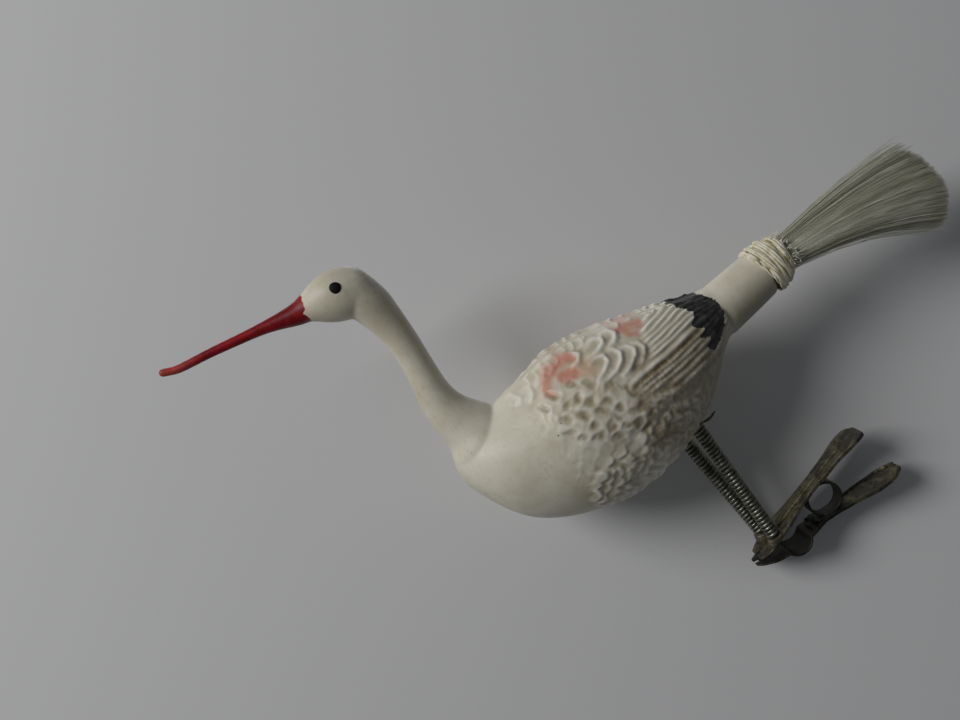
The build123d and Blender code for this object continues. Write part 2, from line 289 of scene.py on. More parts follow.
def quads(rows, sides, inward=False):
    """Faces between the rings of a tube: rows strips of sides faces each."""
    faces = []
    for row in range(rows):
        a, b = row * sides, (row + 1) * sides
        for k in range(sides):
            n = (k + 1) % sides
            faces.append((a + k, b + k, b + n, a + n) if inward else (a + k, a + n, b + n, b + k))
    return faces


def rings_of(rows, sides, place):
    """Points of a surface of rings, place(share, turn) for every ring and turn on it."""
    turns = [2 * math.pi * k / sides for k in range(sides)]
    return [place(row / rows, turn) for row in range(rows + 1) for turn in turns]


def caps(rows, sides):
    """The two end faces of a tube of rows strips."""
    return [tuple(reversed(range(sides))), tuple(rows * sides + k for k in range(sides))]


def tube(path, radii, sides=8, ends=True):
    """Vertices and faces of a round tube along points, with a radius at each."""
    path = [Vector(p) for p in path]
    vertices = []
    side = None
    for i, point in enumerate(path):
        ahead = path[min(i + 1, len(path) - 1)] - path[max(i - 1, 0)]
        ahead.normalize()
        if side is None:
            side = ahead.orthogonal().normalized()
        side = (side - ahead * side.dot(ahead)).normalized()
        up = ahead.cross(side)
        for k in range(sides):
            turn = 2 * math.pi * k / sides
            vertices.append(point + (side * math.cos(turn) + up * math.sin(turn)) * radii[i])
    strips = len(path) - 1
    faces = quads(strips, sides)
    if ends:
        faces += caps(strips, sides)
    return vertices, faces


def gather(parts):
    """Several (vertices, faces) pairs as one."""
    vertices = []
    faces = []
    for some_vertices, some_faces in parts:
        base = len(vertices)
        vertices.extend(some_vertices)
        faces.extend(tuple(base + i for i in face) for face in some_faces)
    return vertices, faces


# ---- flat patterns on the bird, in layout millimetres ---------------------------
def smoothstep(value, low, high):
    share = np.clip((value - low) / (high - low), 0, 1)
    return share * share * (3 - 2 * share)


def on_segment(px, pz, start, end):
    """Distance to a straight stretch, and how far along it the nearest place is, 0 to 1."""
    (ax, az), (bx, bz) = start, end
    ex, ez = bx - ax, bz - az
    share = np.clip(((px - ax) * ex + (pz - az) * ez) / (ex * ex + ez * ez), 0, 1)
    return np.hypot(px - ax - share * ex, pz - az - share * ez), share


def edge_distance(px, pz, outline):
    """Signed distance to a closed outline, positive inside."""
    best = np.full(px.shape, 1e9)
    within = np.zeros(px.shape, bool)
    for (ax, az), (bx, bz) in zip(outline, outline[1:] + outline[:1]):
        best = np.minimum(best, on_segment(px, pz, (ax, az), (bx, bz))[0])
        if az != bz:
            crossing = ax + (pz - az) / (bz - az) * (bx - ax)
            within ^= ((az > pz) != (bz > pz)) & (px < crossing)
    return np.where(within, best, -best)


def capsule(px, pz, points, radius):
    """Signed distance to a stroke of a brush through some points, positive inside."""
    best = np.full(px.shape, 1e9)
    for start, end in zip(points, points[1:]):
        best = np.minimum(best, on_segment(px, pz, start, end)[0])
    return radius - best


def staggered(outline, pitch_x, pitch_z, jitter, margin=0.0):
    """Centres of a staggered pattern inside an outline, rear ones first."""
    (front, low), (rear, high) = np.min(outline, 0), np.max(outline, 0)
    spots = []
    for row, z in enumerate(np.arange(low, high, pitch_z)):
        for x in np.arange(front + (row % 2) * pitch_x / 2, rear, pitch_x):
            spots.append((x + rng.uniform(-jitter, jitter), z + rng.uniform(-jitter, jitter)))
    kept = edge_distance(*np.transpose(spots), outline) > margin
    return sorted((s for s, keep in zip(spots, kept) if keep), reverse=True)


MISSING_SCALES = 0.1


def turned(px, pz, x, z, turn):
    """Places seen from (x, z) along a direction turned by turn, and across it."""
    along = (px - x) * math.cos(turn) + (pz - z) * math.sin(turn)
    across = (pz - z) * math.cos(turn) - (px - x) * math.sin(turn)
    return along, across


def lay_scales(height, px, pz, spots, long, wide, lean, rim, lift, dip):
    """Overlapping soft scales laid rear to front into height; each has a raised rear rim."""
    for x, z in spots:
        size = rng.uniform(0.82, 1.2)
        turn = math.radians(lean + rng.uniform(-16, 16))
        sharp = rng.uniform(0.35, 1.0)
        if rng.random() < MISSING_SCALES:
            continue
        du, dv = turned(px, pz, x, z, turn)
        reach = np.hypot(du / (long * size), dv / (wide * size))
        rear = smoothstep(du / (long * size), -0.7, 0.6)
        shape = lift * (0.5 + 0.5 * du / long)
        shape += rim * sharp * np.exp(-(((reach - 0.86) / 0.27) ** 2)) * (0.15 + 0.85 * rear)
        shape -= dip * np.exp(-(((reach - 0.05) / 0.38) ** 2))
        cover = smoothstep(reach, 1.16, 0.86)
        height[:] = height * (1 - cover) + shape * cover


def lay_pits(height, px, pz, pits, reach, dip):
    """Round dimples pressed into height, each with a faint raised border."""
    for x, z, size in pits:
        du, dv = turned(px, pz, x, z, math.radians(rng.uniform(-50, 10)))
        away = np.hypot(du / (reach * size * 1.15), dv / (reach * size * 0.85))
        height += 0.22 * dip * np.exp(-(((away - 1.5) / 0.4) ** 2))
        height -= dip * np.exp(-(away**2))


def lay_ridges(height, px, pz, strokes, wide, rise):
    """Raised strokes with soft sides, tapering at both ends."""
    for stroke in strokes:
        best = np.full(px.shape, 1e9)
        along = np.zeros(px.shape)
        last = len(stroke) - 1
        for i, (start, end) in enumerate(zip(stroke, stroke[1:])):
            away, share = on_segment(px, pz, start, end)
            nearer = away < best
            best = np.where(nearer, away, best)
            along = np.where(nearer, (i + share) / last, along)
        strong = rise * (0.45 + 0.55 * np.sin(np.pi * along))
        height[:] = np.maximum(height, height * 0.5 + strong * np.exp(-((best / wide) ** 2)))


# The pitted bumps of the shoulder and the wing's front edge: (x, z, size)
SHOULDER_PITS = [
    (-23.6, 55.9, 0.8), (-22.4, 50.6, 0.8), (-21.2, 53.1, 1.0), (-20.9, 57.0, 0.8),
    (-19.6, 54.9, 0.85), (-18.4, 51.9, 1.1), (-17.7, 54.5, 0.9), (-18.0, 49.7, 0.8),
    (-16.6, 57.2, 0.85), (-15.9, 53.1, 1.15), (-15.2, 50.9, 1.0), (-14.2, 55.6, 0.9),
    (-13.2, 51.9, 0.85), (-12.2, 49.6, 1.0), (-11.0, 53.4, 1.0), (-9.2, 51.5, 0.8),
    (-8.9, 49.7, 0.8), (-5.2, 53.3, 1.1), (-3.0, 53.6, 0.9),
]
EDGE_PITS = [
    (-20.6, 48.6, 0.8), (-18.0, 47.5, 1.05), (-15.1, 47.4, 1.1), (-13.2, 48.0, 0.9),
    (-15.3, 45.2, 1.1), (-12.6, 45.9, 0.8), (-11.2, 45.4, 1.0), (-10.3, 47.8, 0.8),
    (-8.6, 47.3, 1.05), (-10.2, 43.2, 1.0), (-8.0, 45.0, 0.8),
]
# Curved rims of the big wing coverts
COVERT_RIDGES = [
    [(-12.3, 55.3), (-10.4, 55.8), (-8.9, 56.6), (-8.9, 57.6), (-10.4, 58.1), (-12.0, 57.9)],
    [(-11.5, 54.3), (-8.8, 54.6), (-6.9, 55.4), (-6.1, 56.4), (-6.8, 57.4), (-8.2, 57.9)],
    [(-8.4, 53.3), (-6.0, 53.8), (-4.3, 54.6), (-3.5, 55.5), (-4.3, 56.4), (-5.6, 56.9)],
    [(-4.2, 53.0), (-2.7, 53.8), (-1.9, 54.7), (-2.3, 55.7), (-3.2, 56.2)],
    [(-12.0, 58.7), (-9.4, 58.6), (-7.6, 58.9), (-7.1, 59.5), (-8.4, 60.1), (-10.8, 60.3)],
    [(-7.2, 58.0), (-5.2, 58.3), (-4.4, 58.9), (-5.2, 59.6), (-6.9, 60.0)],
    [(-14.9, 58.9), (-13.2, 59.2), (-12.4, 59.9), (-13.6, 60.6), (-15.4, 60.8)],
]
# Short slanting feathers under the flight feathers
UNDER_RIDGES = [
    [(-9.6, 46.4), (-8.2, 45.6), (-7.2, 44.2)],
    [(-7.9, 46.8), (-6.4, 45.8), (-5.4, 44.4)],
    [(-6.2, 46.9), (-4.8, 45.9), (-3.7, 44.3)],
    [(-4.4, 46.8), (-3.0, 45.9), (-2.0, 44.4)],
    [(-2.6, 45.9), (-1.2, 45.0), (-0.4, 43.8)],
    [(-7.2, 43.6), (-5.8, 42.8), (-4.9, 41.6)],
    [(-4.6, 43.5), (-3.2, 42.6), (-2.4, 41.4)],
]
# Outlines of the feather groups of one side: (x, z)
BACK = [
    (-27.6, 58.6), (-21.0, 62.6), (-13.0, 64.2), (-3.0, 62.8), (8.0, 58.2), (4.8, 58.0),
    (-2.5, 60.2), (-9.0, 61.4), (-15.0, 61.6), (-21.0, 60.0),
]
FLANK = [
    (-26.2, 31.0), (-26.4, 37.5), (-24.0, 42.6), (-15.0, 43.0), (-10.5, 44.4), (-3.0, 43.4),
    (4.0, 42.6), (6.5, 39.0), (3.0, 34.5), (-6.0, 29.6), (-18.0, 29.0),
]
SHOULDER = [
    (-25.0, 50.4), (-25.6, 54.5), (-23.6, 58.5), (-18.5, 60.0), (-13.0, 59.4), (-9.0, 54.6),
    (-2.6, 54.4), (-2.8, 52.2), (-8.0, 51.0), (-10.0, 48.8), (-18.0, 48.2),
]
WING_EDGE = [
    (-22.5, 47.4), (-21.0, 50.2), (-8.6, 50.4), (-7.6, 47.2), (-9.0, 43.6), (-16.0, 44.0),
]
BUMPY = [
    (-26.0, 34.0), (-25.5, 56.0), (-18.0, 61.0), (-4.0, 60.0), (-2.0, 52.0), (-2.0, 40.0),
    (-8.0, 31.0),
]
RUMP = [
    (1.0, 45.6), (12.0, 45.6), (13.0, 44.0), (9.0, 39.0), (5.0, 36.0), (3.0, 40.0),
]
# Flight feathers: long ridges side by side: (height of the ridge, its front end, half pitch)
UPPER_QUILLS = [
    (57.5, 1.2, 0.40), (56.7, -0.4, 0.40), (55.9, -1.0, 0.40), (55.15, -1.4, 0.40),
    (54.35, -1.2, 0.40), (53.55, -1.4, 0.40), (52.75, -2.2, 0.42), (51.5, -8.2, 0.72),
]
LOWER_QUILLS = [
    (50.15, -7.0, 0.46), (49.2, -7.2, 0.46), (48.2, -5.6, 0.50), (46.9, -1.6, 0.62),
    (45.5, 0.4, 0.60),
]
TIP = (15.2, 51.4)
# Black paint on the wing tip: ragged front edge, then round the tip
BLACK_TIP = [
    (5.2, 57.9), (6.2, 57.0), (8.2, 56.0), (8.0, 55.3), (9.4, 54.7), (9.1, 54.2), (9.9, 53.5),
    (9.3, 52.9), (8.2, 52.4), (7.9, 51.6), (8.5, 51.0), (9.9, 50.7), (9.5, 50.2), (8.0, 49.9),
    (8.2, 49.2), (9.8, 48.7), (9.6, 48.2), (8.0, 47.6), (8.1, 46.8), (9.0, 46.0), (11.4, 46.8),
    (13.6, 48.2), (14.9, 49.8), (15.3, 51.6), (14.9, 53.2), (13.4, 54.8), (10.6, 56.8), (7.6, 58.4),
]
# Brush strokes of colour on the wing: their points and half width
PINK = [
    ([(-21.0, 57.6), (-20.5, 59.0), (-19.2, 60.1), (-17.2, 60.6), (-14.2, 60.4)], 0.75),
    ([(-17.4, 58.6), (-15.6, 58.4)], 1.0),
    ([(-3.9, 59.0), (-2.0, 58.4), (0.6, 57.9)], 0.6),
    ([(-2.4, 57.5), (-1.2, 57.0)], 0.5),
]
PEACH = ([(-14.0, 58.4), (-12.4, 57.4)], 1.3)
# Olive and brown stains in the hollows: (x, z, reach, strength)
STAINS = [
    (-11.0, 53.4, 1.2, 0.75), (-18.3, 51.9, 1.1, 0.5), (-15.1, 51.2, 1.1, 0.5),
    (-5.2, 53.3, 1.4, 0.75), (-2.6, 54.0, 1.2, 0.65), (-14.4, 50.2, 0.8, 0.5),
    (-8.6, 49.8, 0.9, 0.9), (-8.6, 47.2, 1.2, 1.0), (-11.2, 45.4, 1.0, 0.9),
    (-15.3, 45.1, 1.3, 0.55), (-18.0, 47.6, 1.0, 0.4), (-10.2, 43.2, 1.2, 0.6),
    (-13.3, 48.0, 1.0, 0.4), (-12.6, 57.4, 1.6, 0.35), (-1.0, 46.4, 0.9, 0.8),
    (-20.2, 39.9, 1.1, 0.3), (-14.6, 39.6, 1.3, 0.4), (-8.8, 40.2, 1.5, 0.5),
    (-5.6, 39.2, 1.5, 0.5), (-11.8, 37.5, 1.2, 0.4),
]
GROOVE = [(-8.2, 50.6), (-2.0, 50.75), (8.2, 50.75)]


def relief(px, pz):
    """Height of the moulded feathers in millimetres at places of the side view."""
    wx = px + 0.40 * np.sin(1.1 * pz + 0.9 * np.sin(0.7 * px)) + 0.20 * np.sin(2.3 * px + 1.3 * pz)
    wz = pz + 0.32 * np.sin(0.9 * px + 1.7 * np.sin(0.5 * pz)) + 0.16 * np.sin(2.6 * pz - 1.1 * px)
    height = np.zeros(px.shape)
    lay_scales(height, wx, wz, staggered(FLANK, 2.3, 1.7, 0.35), 1.65, 1.15, -24, 0.10, 0.46, 0.10)
    height *= smoothstep(edge_distance(wx, wz, FLANK), -0.6, 2.2)
    lay_scales(height, wx, wz, staggered(RUMP, 2.6, 3.0, 0.3), 1.2, 2.6, -8, 0.10, 0.10, 0.05)
    lay_ridges(height, wx, wz, UNDER_RIDGES, 0.42, 0.34)
    raised = smoothstep(edge_distance(wx, wz, WING_EDGE), -1.2, 1.2)
    height += 0.16 * raised
    lay_pits(height, wx, wz, EDGE_PITS, 0.85, 0.36)
    height[:] = lay_quills(height, px, pz, LOWER_QUILLS, 0.44)
    height[:] = lay_quills(height, px, pz, UPPER_QUILLS, 0.52)
    back = staggered(BACK, 1.9, 1.15, 0.25, -0.3)
    lay_scales(height, wx, wz, back, 1.35, 0.85, -14, 0.12, 0.30, 0.10)
    chest = smoothstep(edge_distance(wx, wz, SHOULDER), -1.0, 2.0)
    height[:] = height * (1 - 0.6 * chest) + 0.22 * chest
    lay_pits(height, wx, wz, SHOULDER_PITS, 0.85, 0.36)
    lay_ridges(height, px, pz, COVERT_RIDGES, 0.42, 0.55)
    lumps = np.sin(1.9 * wx + 0.6) * np.sin(2.1 * wz)
    lumps += 0.6 * np.sin(3.7 * wx - 1.0) * np.sin(3.3 * wz + 2.0)
    height += 0.05 * lumps * smoothstep(edge_distance(px, pz, BUMPY), -1.5, 1.5)
    return height


def lay_quills(height, px, pz, quills, rise):
    """Long ridges from the coverts to the wing tip, laid over height."""
    wave = 0.08 * np.sin(px * 0.5 + 1.0) + 0.02 * np.sin(px * 1.7 + pz)
    close = 1 - 0.5 * smoothstep(px, 8.0, 17.0)
    line = TIP[1] + (pz + wave - TIP[1]) / close
    result = height
    for level, start, half in quills:
        off = (line - level) / half
        away = np.abs(off)
        ridge = rise * (0.5 + 0.5 * np.cos(np.clip(away, 0, 1) * math.pi)) ** 0.7
        worn = 0.8 + 0.2 * np.sin(px * 0.9 + level * 3)
        fade = smoothstep(px, start - 0.8, start + 1.2) * smoothstep(px, 15.6, 13.6)
        share = smoothstep(away, 1.12, 0.96) * fade
        result = result * (1 - share) + (ridge * worn - 0.04 * off + 0.04) * share
    return result


def ragged(px, pz, size, depth):
    """A wavy offset that makes painted edges uneven."""
    wave = np.sin(px * 2.3 / size + 1.7 * np.sin(pz * 1.9 / size))
    wave += np.sin(pz * 3.1 / size + 2.1 * np.sin(px * 1.3 / size))
    wave += 0.6 * np.sin((px + pz) * 5.3 / size)
    return depth * wave / 2.6


# Where the beak's red paint ends on the face: heights, and how far back it reaches there
BEAK_PAINT_EDGE = (
    [92.0, 93.0, 93.9, 94.7, 95.3, 96.2, 97.2, 98.5],
    [-49.0, -49.2, -49.0, -49.5, -48.7, -48.5, -48.1, -48.0],
)
BEAK_SEAM = -50.4
# Low on the wing and the rump: a film that is partly grime and partly painted shade
LOW_GRIME_AND_SHADE = [
    (-9.0, 50.6), (9.0, 50.9), (14.0, 49.0), (11.0, 44.0), (6.0, 36.0), (-6.0, 33.0), (-12.0, 40.0),
]


NAPE = (-36.2, 94.2)
NAPE_ROUNDS = 130
WING_STEP_ROUNDS = 40


def calmed(points, edges, rounds):
    """Points averaged with their neighbours a number of times."""
    return np.stack([spread(points[:, k], edges, rounds) for k in range(3)], 1)


def calm_nape(points, edges, px, pz):
    """Melts the crease between the head and the neck."""
    share = smoothstep(np.hypot(px - NAPE[0], pz - NAPE[1]), 6.5, 2.5)[:, None]
    return points + (calmed(points, edges, NAPE_ROUNDS) - points) * share


def soften_wing_step(points, edges, px, pz):
    """Rounds the step under the wing, where the moulded feathers run over it."""
    share = smoothstep(px, -27.0, -24.0) * smoothstep(px, 15.0, 12.0)
    share *= smoothstep(pz, 37.0, 40.0) * smoothstep(pz, 53.0, 50.0)
    share = (0.9 * share)[:, None]
    for _ in range(WING_STEP_ROUNDS):
        points = points * (1 - share) + calmed(points, edges, 1) * share
    return points


def mark_paint(mesh, px, py, pz):
    """Stores where each colour lies on the glass, and where shade is painted on it."""
    # grime low on the wing and rump, laid darker to paint the shade that falls there
    store(mesh, "grime_and_shade", smoothstep(edge_distance(px, pz, LOW_GRIME_AND_SHADE), -1.5, 2.0))
    stain = np.exp(-((capsule(px, pz, GROOVE, 0.0) / 0.6) ** 2))
    pits = [(x, z, 0.7 * size, rng.uniform(0.45, 0.9)) for x, z, size in SHOULDER_PITS + EDGE_PITS]
    for x, z, reach, strength in STAINS + pits:
        spot = strength * np.exp(-(np.hypot(px - x, pz - z) / reach) ** 2)
        stain = np.maximum(stain, spot)
    store(mesh, "stain", stain)
    # painted shade: the underside of the tail tube and the rear of the lower wing, darker where they
    # turn from the light
    up = (pz - np.interp(px, [14.0, 28.0], [49.0, 50.7])) / 4.6
    tube = smoothstep(px, 14.0, 18.0) * smoothstep(up, 1.0, -0.5)
    store(mesh, "painted_shade", np.maximum(tube, 0.6 * smoothstep(px, -7.0, 9.0) * smoothstep(pz, 55.0, 49.0)))
    store(mesh, "black", edge_distance(px, pz, BLACK_TIP) + ragged(px, pz, 1.1, 0.16))
    uneven_edge = ragged(px, pz, 1.4, 0.3)
    pink = np.max([capsule(px, pz, *stroke) for stroke in PINK], axis=0) + uneven_edge
    store(mesh, "pink", smoothstep(pink, -0.6, 0.6))
    store(mesh, "peach", smoothstep(capsule(px, pz, *PEACH) + uneven_edge, -1.3, 0.9))
    fore = np.interp(pz, *BEAK_PAINT_EDGE) + 0.08 * np.sin(pz * 6.1 + py)
    store(mesh, "red", fore - px)


def keep_faces(mesh, kept):
    """Drops the faces of a mesh that are not kept, and restores its stored shading."""
    with edited(mesh) as solid:
        doomed = [face for face, keep in zip(solid.faces, kept) if not keep]
        bmesh.ops.delete(solid, geom=doomed, context="FACES")
    shading = table(mesh.attributes["shading"].data, "vector")
    mesh.attributes.remove(mesh.attributes["shading"])
    mesh.normals_split_custom_set_from_vertices([tuple(n) for n in shading])


def split_beak(piece, name, material):
    """Cuts the beak off the skin as its own piece, keeping the shading across the cut."""
    mesh = piece.data
    shading = mesh.attributes.new("shading", "FLOAT_VECTOR", "POINT")
    shading.data.foreach_set("vector", normals_of(mesh).ravel())
    ahead = laid_out(table(mesh.polygons, "center"))[0] < BEAK_SEAM
    beak = bpy.data.objects.new(name, mesh.copy())
    SCENE.collection.objects.link(beak)
    beak.data.materials.clear()
    beak.data.materials.append(material)
    keep_faces(beak.data, ahead)
    keep_faces(mesh, ~ahead)
    return beak


def build_skin(material, beak_material):
    """The painted glass bird: one closed skin with the moulded feathers pressed into it."""
    stopper = (middle("tail_plug"), 4.0 * MM)
    nodes = ("glass_bird", "beak", "belly_plug", "tail_plug")
    piece = voxel_skin("painted_glass", nodes, *GLASS_SKIN, material, [stopper])
    mesh = piece.data
    edges = edges_of(mesh)
    points = points_of(mesh)
    px, py, pz = laid_out(points)
    points = calm_nape(points, edges, px, pz)
    points = soften_wing_step(points, edges, px, pz)
    set_points(mesh, points)
    normals = normals_of(mesh)
    on_body = smoothstep(px, -30.0, -27.5)
    seam = smoothstep(np.abs(py), 0.4, 1.6)
    height = relief(px, pz) * on_body * seam
    height = spread(height, edges, 2)
    uneven = 0.05 * np.sin(px * 0.43 + 0.6 * np.sin(pz * 0.31)) * np.cos(pz * 0.37 + py * 0.21)
    uneven *= smoothstep(px, -48.0, -42.0)
    set_points(mesh, points + normals * ((height + uneven) * MM)[:, None])
    wide = spread(height, edges, 60)
    deep = np.clip((wide - height) / 0.20, -1, 1)
    store(mesh, "hollow", np.clip(deep, 0, 1))
    store(mesh, "crest", np.clip(-deep, 0, 1))
    mark_paint(mesh, px, py, pz)
    return piece, split_beak(piece, "red_beak", beak_material)


# ---- materials ------------------------------------------------------------------
def painted_glass():
    shade = Shade("painted_glass", Specular_IOR_Level=0.35)
    hollow = shade.attribute("hollow")
    grime_and_shade = shade.attribute("grime_and_shade")
    fine = shade.noise(1.1, 4.0, 0.6)
    cream = shade.patches(14.0, 0.35, 0.68, rgb(222, 218, 202), rgb(200, 193, 171))
    cream = shade.mix(shade.span(fine, 0.5, 0.8, 0.0, 0.35), cream, rgb(174, 163, 136))
    cream = shade.over(cream, shade.attribute("crest"), 0.8, rgb(240, 239, 231))
    # brown dirt in the hollows, olive stains, a film of grime and painted shade low on the wing, and
    # painted shade under the tail tube
    blotch = shade.span(shade.noise(2.6, 3.0, 0.6), 0.3, 0.7, 0.35, 1.0)
    depth = shade.math("ADD", shade.math("MULTIPLY", grime_and_shade, 0.40), 0.48)
    dirt = shade.math("MULTIPLY", shade.math("MULTIPLY", hollow, blotch), depth, clamp=True)
    brown = shade.patches(4.0, 0.4, 0.62, rgb(132, 116, 78), rgb(120, 112, 92))
    cream = shade.mix(dirt, cream, brown)
    wash = shade.math("MULTIPLY", shade.attribute("stain"), shade.span(fine, 0.3, 0.62, 0.55, 1.0))
    cream = shade.over(cream, wash, 0.92, rgb(112, 94, 50))
    # grime film low on the wing, laid darker as painted shade
    cream = shade.over(cream, grime_and_shade, shade.span(fine, 0.35, 0.7, 0.3, 0.7), rgb(136, 120, 88))
    # painted shade under the tail tube and over the rear of the lower wing
    cream = shade.over(cream, shade.attribute("painted_shade"), 0.62, rgb(118, 113, 95))
    # worn pink and peach brush strokes
    worn = shade.span(shade.noise(1.6, 3.0, 0.65), 0.3, 0.55, 0.62, 1.0)
    pink = shade.math("MULTIPLY", shade.attribute("pink"), worn)
    cream = shade.over(cream, shade.attribute("peach"), 0.5, rgb(220, 180, 150))
    cream = shade.over(cream, pink, 0.78, rgb(206, 126, 108))
    # specks and scratches
    speck = shade.span(shade.cells(3.1), 0.07, 0.04)
    rare = shade.span(shade.noise(5.0, 1.0), 0.5, 0.6)
    cream = shade.over(cream, speck, rare, rgb(70, 58, 40))
    scratch_field = shade.noise(2.2, 1.0, 0.5, (1, 1, 0.06), 0.35)
    scratch = shade.math("ABSOLUTE", shade.math("SUBTRACT", scratch_field, 0.62))
    cream = shade.over(cream, shade.span(scratch, 0.003, 0.0), 0.35, rgb(120, 108, 84))
    # the black wing tip and the beak's red, with frayed edges
    fray = shade.span(shade.noise(0.7, 3.0, 0.7), 0.2, 0.8, -0.22, 0.22)
    black = shade.span(shade.math("ADD", shade.attribute("black"), fray), -0.04, 0.06)
    ink = shade.patches(1.2, 0.4, 0.75, rgb(44, 44, 45), rgb(74, 75, 76))
    cream = shade.mix(black, cream, ink)
    red = shade.span(shade.math("ADD", shade.attribute("red"), fray), -0.08, 0.08)
    cream = shade.mix(red, cream, beak_colour(shade))
    roughness = shade.span(shade.noise(6.0, 3.0), 0.3, 0.7, 0.36, 0.5)
    shade.set(Base_Color=cream, Roughness=roughness)
    grain = shade.math("MULTIPLY", shade.noise(0.35, 2.0), 0.35)
    height = shade.math("ADD", grain, shade.math("MULTIPLY", black, 0.35))
    height = shade.math("ADD", height, shade.math("MULTIPLY", fine, 0.5))
    shade.bump(height, 0.09, 0.6)
    return shade.material


def beak_colour(shade):
    """Red paint, darker in patches."""
    return shade.patches(2.4, 0.35, 0.7, rgb(150, 18, 25), rgb(112, 12, 19))


def red_paint():
    shade = Shade("red_paint", Roughness=0.42, Specular_IOR_Level=0.25)
    low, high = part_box("beak")
    along = shade.add("ShaderNodeSeparateXYZ", {0: shade.place}).outputs[0]
    pale = shade.span(along, low.x + 9 * MM, low.x + 2 * MM)
    colour = shade.over(beak_colour(shade), pale, 0.6, rgb(196, 84, 74))
    chip = shade.span(shade.noise(0.9, 3.0, 0.7), 0.7, 0.74)
    shade.set(Base_Color=shade.over(colour, chip, 0.5, rgb(110, 20, 22)))
    shade.bump(shade.noise(1.2, 4.0, 0.6), 0.10, 0.5)
    return shade.material


def black_enamel():
    shade = Shade("black_enamel", Roughness=0.62, Specular_IOR_Level=0.12)
    shade.set(Base_Color=shade.patches(0.5, 0.4, 0.7, rgb(16, 16, 16), rgb(26, 25, 24)))
    shade.bump(shade.noise(0.4, 3.0), 0.03, 0.4)
    return shade.material


def plaster():
    shade = Shade("plaster", Roughness=0.9)
    shade.set(Base_Color=shade.patches(1.0, 0.3, 0.7, rgb(196, 186, 160), rgb(150, 138, 112), 4.0))
    shade.bump(shade.noise(0.5, 4.0), 0.2, 0.6)
    return shade.material


def spring_wire():
    shade = Shade("spring_wire", Metallic=1.0)
    colour = shade.patches(1.6, 0.35, 0.7, rgb(150, 150, 140), rgb(98, 98, 88))
    rust = shade.span(shade.noise(5.0, 2.0), 0.6, 0.72)
    colour = shade.over(colour, rust, 0.45, rgb(78, 50, 38))
    shade.set(Base_Color=colour, Roughness=shade.span(shade.noise(0.8), 0.3, 0.7, 0.3, 0.5))
    shade.bump(shade.noise(0.25, 3.0), 0.02, 0.4)
    return shade.material


def tinplate(name, light, middling):
    shade = Shade(name, Metallic=0.85)
    tarnish = shade.noise(3.2, 4.0, 0.6)
    colour = shade.mix(shade.span(tarnish, 0.38, 0.62), light, middling)
    dark = shade.span(shade.noise(0.9, 4.0, 0.7), 0.52, 0.62)
    colour = shade.over(colour, dark, 0.8, rgb(44, 36, 36))
    colour = shade.over(colour, shade.attribute("hollow"), 0.8, rgb(44, 40, 36))
    # painted shadow over the front of the lower plate
    colour = shade.over(colour, shade.attribute("painted_shadow"), 0.9, rgb(30, 30, 26))
    colour = shade.over(colour, shade.attribute("crest"), 0.7, rgb(66, 62, 60))
    shade.set(Base_Color=colour, Roughness=shade.span(tarnish, 0.3, 0.7, 0.34, 0.62))
    shade.bump(shade.noise(0.7, 4.0, 0.6), 0.06, 0.5)
    return shade.material


def solder_metal():
    shade = Shade("solder", Metallic=0.6, Roughness=0.55)
    colour = shade.patches(1.1, 0.35, 0.65, rgb(116, 110, 96), rgb(78, 72, 60), 4.0, 0.65)
    colour = shade.mix(shade.span(shade.noise(0.6, 3.0), 0.6, 0.72, 0, 0.7), colour, rgb(50, 44, 38))
    shade.set(Base_Color=colour)
    shade.bump(shade.noise(0.5, 4.0, 0.6), 0.14, 0.6)
    return shade.material


def spun_glass():
    shade = Shade("spun_glass", Roughness=0.35, Specular_IOR_Level=0.6, Transmission_Weight=0.25)
    streak = shade.span(shade.noise(2.2, 3.0, 0.6, (0.08, 1, 1)), 0.35, 0.65)
    shade.set(Base_Color=shade.mix(streak, rgb(226, 226, 210), rgb(204, 203, 182)))
    return shade.material


def thread(name, pale, dark):
    shade = Shade(name, Roughness=0.75, Sheen_Weight=0.25, Sheen_Roughness=0.5)
    shade.set(Base_Color=shade.patches(1.5, 0.38, 0.68, pale, dark, rough=0.6))
    shade.bump(shade.noise(0.22, 3.0, 0.6), 0.08, 0.6)
    return shade.material


GROUND_COLOUR = (0.66, 0.665, 0.68, 1.0)
GROUND_FADE = (0.235, 0.150)


def switch(tree, share, first, second, target):
    """Sends the shader first to target, or second where share is 1."""
    chooser = tree.nodes.new("ShaderNodeMixShader")
    for source, socket in zip((share, first, second), chooser.inputs):
        tree.links.new(source, socket)
    tree.links.new(chooser.outputs[0], target)


def pale_ground():
    """Fades out towards its rim, and cannot be seen from behind."""
    shade = Shade("pale_ground", Roughness=0.9, Base_Color=GROUND_COLOUR)
    distance = shade.add("ShaderNodeVectorMath", {0: shade.place}, operation="LENGTH").outputs["Value"]
    shade.set(Alpha=shade.span(distance, *GROUND_FADE))
    behind = shade.add("ShaderNodeNewGeometry").outputs["Backfacing"]
    clear = shade.add("ShaderNodeBsdfTransparent").outputs[0]
    surface = shade.tree.nodes["Material Output"].inputs["Surface"]
    switch(shade.tree, behind, shade.shader.outputs[0], clear, surface)
    return shade.material


# ---- the pieces -----------------------------------------------------------------
def store_wear(mesh, rounds, depth):
    """Marks ridges and hollows of a mesh, reaching full strength at depth millimetres."""
    points = points_of(mesh)
    normals = normals_of(mesh)
    edges = edges_of(mesh)
    proud = ((points - calmed(points, edges, rounds)) * normals).sum(1) / (depth * MM)
    store(mesh, "crest", np.clip(proud, 0, 1))
    store(mesh, "hollow", np.clip(-proud, 0, 1))


EYE_RISE = 0.5 * MM
EYE_SUNK = 0.10 * MM
EYE_LEAN = 0.22
EYE_RINGS = 10
EYE_SIDES = 40


